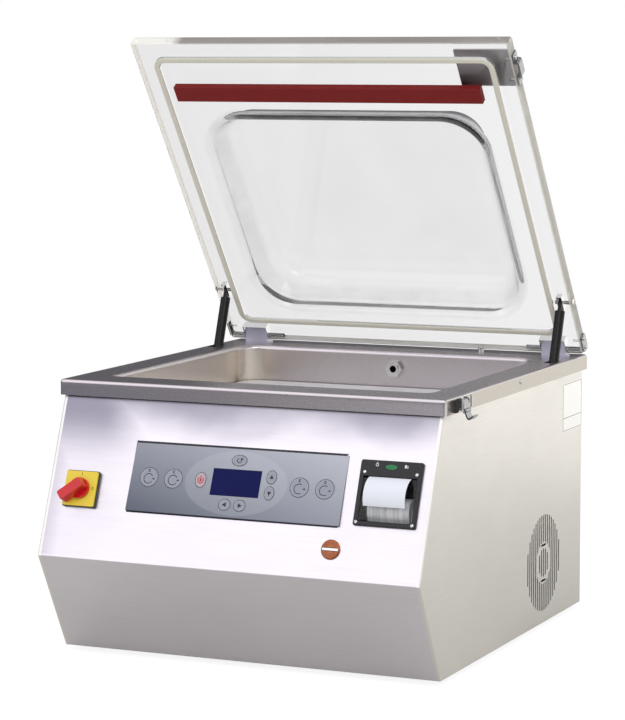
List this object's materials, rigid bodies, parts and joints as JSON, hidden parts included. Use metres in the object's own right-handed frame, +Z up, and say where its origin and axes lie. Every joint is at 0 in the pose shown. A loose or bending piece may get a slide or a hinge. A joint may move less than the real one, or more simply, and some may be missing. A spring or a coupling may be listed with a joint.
{
  "type": "vacuum chamber sealer",
  "caption": "Table-top vacuum packing machine: steel case with a deep-drawn chamber, lifting seal bar, clear domed lid on gas springs, keypad, label printer and side fan.",
  "frame": {"origin": "on the standing surface, in the middle of the machine's outline", "axes": "+Z up, +Y to the rear (hinges), -Y to the front (controls), +X to the machine's right as seen from the front"},
  "size_m": [0.582, 0.632, 0.8206],
  "materials": {
    "sheet_steel": "brushed",
    "chamber_steel": "satin",
    "acrylic": "clear",
    "gasket": "matte",
    "silicone": "matte",
    "dark_steel": "brushed",
    "bright_steel": "polished",
    "hinge_alloy": "satin",
    "black_steel": "satin",
    "white_plastic": "matte",
    "black_plastic": "matte",
    "black_rubber": "matte",
    "keypad": "satin",
    "keys": "satin",
    "display": "gloss",
    "clear_door": "clear",
    "paper": "matte",
    "green": "gloss",
    "yellow": "satin",
    "red": "satin",
    "copper": "polished",
    "cast_alloy": "cast",
    "circuit": "satin",
    "aluminium": "satin",
    "tape": "satin",
    "copper_core": "matte",
    "hose": "matte"
  },
  "bodies": {
    "case": {"base_plate": "sheet_steel", "rubber_feet": "black_rubber", "left_side_panel": "sheet_steel", "right_side_panel": "sheet_steel", "front_panel": "sheet_steel", "rear_panel": "sheet_steel", "power_inlet": "black_plastic", "vacuum_chamber": "chamber_steel", "chamber_nozzle": "bright_steel", "filler_plates": "white_plastic", "seal_bar_cylinders": "aluminium", "hinge_blocks": "hinge_alloy", "strut_brackets": "sheet_steel", "lid_switch": "black_plastic", "latch_base": "bright_steel", "keypad_housing": "keypad", "display": "display", "control_board": "circuit", "printer_bezel": "black_plastic", "switch_base": "black_plastic", "switch_plate": "yellow", "badge": "copper", "vacuum_pump": "cast_alloy", "pump_motor": "cast_alloy", "fan_housing": "black_plastic", "solenoid_valve": "bright_steel", "vacuum_hose": "hose", "transformer": "copper_core"},
    "lid": {"lid": "acrylic", "lid_gasket": "gasket", "counter_bar": "silicone", "lid_corner_plate": "dark_steel", "lid_catch": "bright_steel", "hinge_pins": "bright_steel", "strut_studs": "bright_steel"},
    "strut_upper": {"strut_cylinders": "black_steel"},
    "strut_lower": {"strut_rods": "bright_steel"},
    "seal_bar": {"seal_bar_rods": "bright_steel", "seal_bar": "aluminium", "seal_wires": "bright_steel", "seal_cover": "tape"},
    "lid_switch_plunger": {"lid_switch_plunger": "bright_steel"},
    "latch_lever": {"latch_lever": "bright_steel"},
    "latch_bail": {"latch_bail": "bright_steel"},
    "printer_door": {"printer_door": "clear_door", "paper_tongue": "paper"},
    "paper_roll": {"paper_roll": "paper"},
    "printer_button": {"printer_button": "green"},
    "switch_knob": {"switch_knob": "red"},
    "fan_rotor": {"fan_rotor": "black_plastic"},
    "key_round_1": {"key_round_1": "keys"},
    "key_round_2": {"key_round_2": "keys"},
    "key_round_3": {"key_round_3": "keys"},
    "key_round_4": {"key_round_4": "keys"},
    "key_stop": {"key_stop": "red"},
    "key_set": {"key_set": "keys"},
    "key_up": {"key_up": "keys"},
    "key_down": {"key_down": "keys"},
    "key_left": {"key_left": "keys"},
    "key_right": {"key_right": "keys"}
  },
  "joints": [
    {"name": "lid_hinge", "type": "hinge", "parent": "case", "child": "lid", "pos_m": [-0.01, 0.295, 0.3798], "axis": [1, 0, 0], "range_deg": [0, 54], "stiffness_Nm_per_rad": 8.5, "springref_deg": -94.54},
    {"name": "strut_swivel", "type": "hinge", "parent": "lid", "child": "strut_upper", "pos_m": [-0.01, 0.24026, 0.45004], "axis": [1, 0, 0], "range_deg": [-51.7, 0]},
    {"name": "strut_slide", "type": "slide", "parent": "strut_upper", "child": "strut_lower", "axis": [0, 0.342, 0.9397], "range_m": [0, 0.0807]},
    {"name": "seal_bar_lift", "type": "slide", "parent": "case", "child": "seal_bar", "axis": [0, 0, 1], "range_m": [0, 0.0115]},
    {"name": "lid_switch_press", "type": "slide", "parent": "case", "child": "lid_switch_plunger", "axis": [0, 0, -1], "range_m": [0, 0.0065], "stiffness_N_per_m": 60, "springref_m": -0.003},
    {"name": "latch_lever_swing", "type": "hinge", "parent": "case", "child": "latch_lever", "pos_m": [0.274, -0.1995, 0.362], "axis": [0, -1, 0], "range_deg": [0, 100]},
    {"name": "latch_bail_swing", "type": "hinge", "parent": "latch_lever", "child": "latch_bail", "pos_m": [0.2785, -0.1995, 0.35], "axis": [0, -1, 0], "range_deg": [-100, 0]},
    {"name": "key_round_1_press", "type": "slide", "parent": "case", "child": "key_round_1", "axis": [0, 0.917, -0.3989], "range_m": [0, 0.0008], "stiffness_N_per_m": 400, "springref_m": -0.0006},
    {"name": "key_round_2_press", "type": "slide", "parent": "case", "child": "key_round_2", "axis": [0, 0.917, -0.3989], "range_m": [0, 0.0008], "stiffness_N_per_m": 400, "springref_m": -0.0006},
    {"name": "key_round_3_press", "type": "slide", "parent": "case", "child": "key_round_3", "axis": [0, 0.917, -0.3989], "range_m": [0, 0.0008], "stiffness_N_per_m": 400, "springref_m": -0.0006},
    {"name": "key_round_4_press", "type": "slide", "parent": "case", "child": "key_round_4", "axis": [0, 0.917, -0.3989], "range_m": [0, 0.0008], "stiffness_N_per_m": 400, "springref_m": -0.0006},
    {"name": "key_stop_press", "type": "slide", "parent": "case", "child": "key_stop", "axis": [0, 0.917, -0.3989], "range_m": [0, 0.0008], "stiffness_N_per_m": 400, "springref_m": -0.0006},
    {"name": "key_set_press", "type": "slide", "parent": "case", "child": "key_set", "axis": [0, 0.917, -0.3989], "range_m": [0, 0.0008], "stiffness_N_per_m": 400, "springref_m": -0.0006},
    {"name": "key_up_press", "type": "slide", "parent": "case", "child": "key_up", "axis": [0, 0.917, -0.3989], "range_m": [0, 0.0008], "stiffness_N_per_m": 400, "springref_m": -0.0006},
    {"name": "key_down_press", "type": "slide", "parent": "case", "child": "key_down", "axis": [0, 0.917, -0.3989], "range_m": [0, 0.0008], "stiffness_N_per_m": 400, "springref_m": -0.0006},
    {"name": "key_left_press", "type": "slide", "parent": "case", "child": "key_left", "axis": [0, 0.917, -0.3989], "range_m": [0, 0.0008], "stiffness_N_per_m": 400, "springref_m": -0.0006},
    {"name": "key_right_press", "type": "slide", "parent": "case", "child": "key_right", "axis": [0, 0.917, -0.3989], "range_m": [0, 0.0008], "stiffness_N_per_m": 400, "springref_m": -0.0006},
    {"name": "printer_door_swing", "type": "hinge", "parent": "case", "child": "printer_door", "pos_m": [0.2031, -0.28842, 0.21699], "axis": [1, 0, 0], "range_deg": [0, 70]},
    {"name": "paper_roll_spin", "type": "hinge", "parent": "case", "child": "paper_roll", "pos_m": [0.2031, -0.26103, 0.2246], "axis": [1, 0, 0], "continuous": true},
    {"name": "printer_button_press", "type": "slide", "parent": "case", "child": "printer_button", "axis": [0, 0.9316, -0.3635], "range_m": [0, 0.0008], "stiffness_N_per_m": 300, "springref_m": -0.0006},
    {"name": "main_switch_turn", "type": "hinge", "parent": "case", "child": "switch_knob", "pos_m": [-0.2318, -0.28867, 0.23024], "axis": [0, 0.9316, -0.3635], "range_deg": [0, 90]},
    {"name": "fan_spin", "type": "hinge", "parent": "case", "child": "fan_rotor", "pos_m": [0.2408, 0.145, 0.0925], "axis": [1, 0, 0], "continuous": true}
  ],
  "couplings": [
    {"joint": "strut_swivel", "follows": "lid_hinge", "ratio": -0.9551},
    {"joint": "strut_slide", "follows": "lid_hinge", "m_per_rad": 0.08549},
    {"joint": "lid_switch_press", "follows": "lid_hinge", "m_per_rad": 0.006896},
    {"joint": "latch_bail_swing", "follows": "latch_lever_swing", "ratio": -1}
  ]
}
